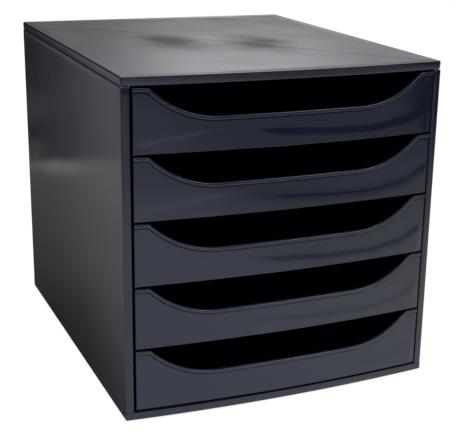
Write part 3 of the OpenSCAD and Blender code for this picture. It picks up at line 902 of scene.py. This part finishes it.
plain_patches = (
    # The dim floor on the left, with painted shade that darkens it towards the stack.
    (0.02, beside, left),
    (0.025, beside, left, dim_band_end),
    (0.025, beside, left, dim_band_end, ((0, 1, 0), 0.08, 0.25)),
    (0.035, beside, left, ((0, -1, 0), -0.35, 0.0), (aslant, 0.60, 0.76)),
    (0.09, beside, dim_band_end, ((-1, 0, 0), 0.13, 0.27)),
    (0.10, beside, dim_band_end, ((-1, 0, 0), 0.13, 0.24), (aslant, 0.45, 0.80)),
    (0.08, beside, dim_band_end, ((-1, 0, 0), 0.27, 0.34)),
    (0.05, beside, left, (aslant, 0.70, 0.88)),
    # Painted light on the floor past the dim band, a painted glint at the band's far edge, and two more past
    # it.
    (0.10, past_dim_band, ((-1, 0, 0), 0.27, 0.38), (aslant, 0.65, 0.98)),
    (0.25, *glint_sides, ((0, 1, 0), 0.60, 0.66), ((0, -1, 0), -0.75, -0.69)),
    (0.055, ((0, 1, 0), 0.92, 1.08), ((0, -1, 0), -1.40, -1.20), (aslant_back, -0.50, -0.30)),
    (0.11, ((0, 1, 0), 0.66, 0.70), ((0, -1, 0), -0.93, -0.80), (aslant_back, -0.46, -0.34)),
    # Painted light in front on the right, close to the stack.
    (0.69, front, near, ((1, 0, 0), 0.05, 0.30)),
    (0.16, front, ((0, 1, 0), -0.50, -0.30), ((1, 0, 0), -0.10, 0.10)),
    # Painted light beside the stack on the right, and further out.
    (0.35, beside, ((1, 0, 0), -0.05, 0.10)),
    (0.90, beside, ((1, 0, 0), 0.25, 0.60), ((-1, 0, 0), -1.60, -0.70)),
)
spot = add_node(floor_tree, "ShaderNodeTexCoord").outputs["Object"]
rays = add_node(floor_tree, "ShaderNodeLightPath").outputs
# The floor's painted reflections: glowing patches that only glossy and transmission rays see.
cool = add_node(
    floor_tree, "ShaderNodeEmission",
    Color=paint("#E8EDFF"), Strength=soft_patches(floor_tree, spot, cool_patches),
).outputs["Emission"]
plain = add_node(
    floor_tree, "ShaderNodeEmission",
    Color=paint("#FFFCFA"), Strength=soft_patches(floor_tree, spot, plain_patches),
).outputs["Emission"]
mirrored = add_node(floor_tree, "ShaderNodeAddShader", _0=cool, _1=plain).outputs["Shader"]
# The camera sees the floor half lit, with the stack's shadow, and half plain white.
lit_share, floor_white = 0.5, 1.64
lit = add_node(floor_tree, "ShaderNodeBsdfDiffuse", Color=paint("#E8E8E8")).outputs["BSDF"]
white = add_node(floor_tree, "ShaderNodeEmission", Strength=floor_white).outputs["Emission"]
half_seen = add_node(
    floor_tree, "ShaderNodeMath", {"operation": "MULTIPLY"}, _0=rays["Is Camera Ray"], _1=lit_share
).outputs["Value"]
pale = add_node(floor_tree, "ShaderNodeMixShader", _0=half_seen, _1=lit, _2=white).outputs["Shader"]
in_mirror = add_node(
    floor_tree, "ShaderNodeMath", {"operation": "MAXIMUM"},
    _0=rays["Is Glossy Ray"], _1=rays["Is Transmission Ray"],
).outputs["Value"]
surface = add_node(floor_tree, "ShaderNodeMixShader", _0=in_mirror, _1=pale, _2=mirrored).outputs["Shader"]
add_node(floor_tree, "ShaderNodeOutputMaterial", Surface=surface)

# The room behind is dim down by the floor and brighter higher up, most of all a
# little to the right, and it is bright overhead. Its edges are directions, not places.
room = bpy.data.worlds.new("studio")
bpy.context.scene.world = room
room.use_nodes = True
room_tree = room.node_tree
room_tree.nodes.clear()
behind = ((0, 1, 0), 0.0, 0.3)
wall_foot = ((0, 0, 1), 0.093, 0.128)
room_glow = (
    # The wall behind, in steps from its foot up and to the right, and its brightest part.
    (0.32, behind, wall_foot, ((1, 0, 0), 0.05, 0.20)),
    (0.24, behind, wall_foot, ((1, 0, 0), 0.24, 0.36)),
    (0.48, behind, ((0, 0, 1), 0.138, 0.162), ((1, 0, 0), 0.25, 0.36), ((-1, 0, 0), -0.50, -0.42)),
    (
        1.50, behind, ((1, 0, 0), 0.12, 0.42), ((0, 0, 1), 0.22, 0.32), ((0, 0, -1), -0.5, -0.3),
        ((-1, 0, 0), -0.60, -0.38),
    ),
    # Overhead, more so on the left.
    (1.00, ((0, 0, 1), 0.25, 0.55)),
    (1.60, ((-1, 0, 0), -0.10, 0.20), ((0, 0, 1), 0.45, 0.70)),
    # In front, and high up behind on the right.
    (0.16, ((0, -1, 0), 0.0, 0.3), ((0, 0, 1), 0.10, 0.25)),
    (
        1.20, ((0, 0, 1), 0.40, 0.55), ((0, 0, -1), -0.92, -0.80), ((0, 1, 0), 0.20, 0.40),
        ((1, 0, 0), 0.10, 0.30),
    ),
)
way = add_node(room_tree, "ShaderNodeTexCoord").outputs["Generated"]
seen = add_node(room_tree, "ShaderNodeLightPath").outputs
backdrop = add_node(
    room_tree, "ShaderNodeBackground", Color=paint("#FFFFFF"), Strength=1.0
).outputs["Background"]
glow = add_node(
    room_tree, "ShaderNodeBackground",
    Color=paint("#FBFCFF"), Strength=soft_patches(room_tree, way, room_glow),
).outputs["Background"]
ambient = add_node(room_tree, "ShaderNodeBackground", Strength=0.55).outputs["Background"]
in_shine = add_node(
    room_tree, "ShaderNodeMath", {"operation": "MAXIMUM"},
    _0=seen["Is Glossy Ray"], _1=seen["Is Transmission Ray"],
).outputs["Value"]
unseen = add_node(room_tree, "ShaderNodeMixShader", _0=in_shine, _1=ambient, _2=glow).outputs["Shader"]
around = add_node(room_tree, "ShaderNodeMixShader", _0=seen["Is Camera Ray"], _1=unseen, _2=backdrop)
add_node(room_tree, "ShaderNodeOutputWorld", Surface=around.outputs["Shader"])

# Two broad soft lamps, high in front on the left and on the right.
stack_middle = Vector((0.0, 0.0, 0.14))
for name, spot_at, size, power in (
    ("key light", (-0.9, -1.1, 1.5), 0.6, 12.0),
    ("fill light", (0.75, -1.0, 1.35), 0.5, 6.0),
):
    lamp = bpy.data.lights.new(name, "AREA")
    lamp.size = size
    lamp.energy = power
    light = bpy.data.objects.new(name, lamp)
    bpy.context.scene.collection.objects.link(light)
    aim = stack_middle - Vector(spot_at)
    light.matrix_world = Matrix.Translation(spot_at) @ aim.to_track_quat("-Z", "Y").to_matrix().to_4x4()

bpy.context.scene.view_settings.view_transform = "Standard"
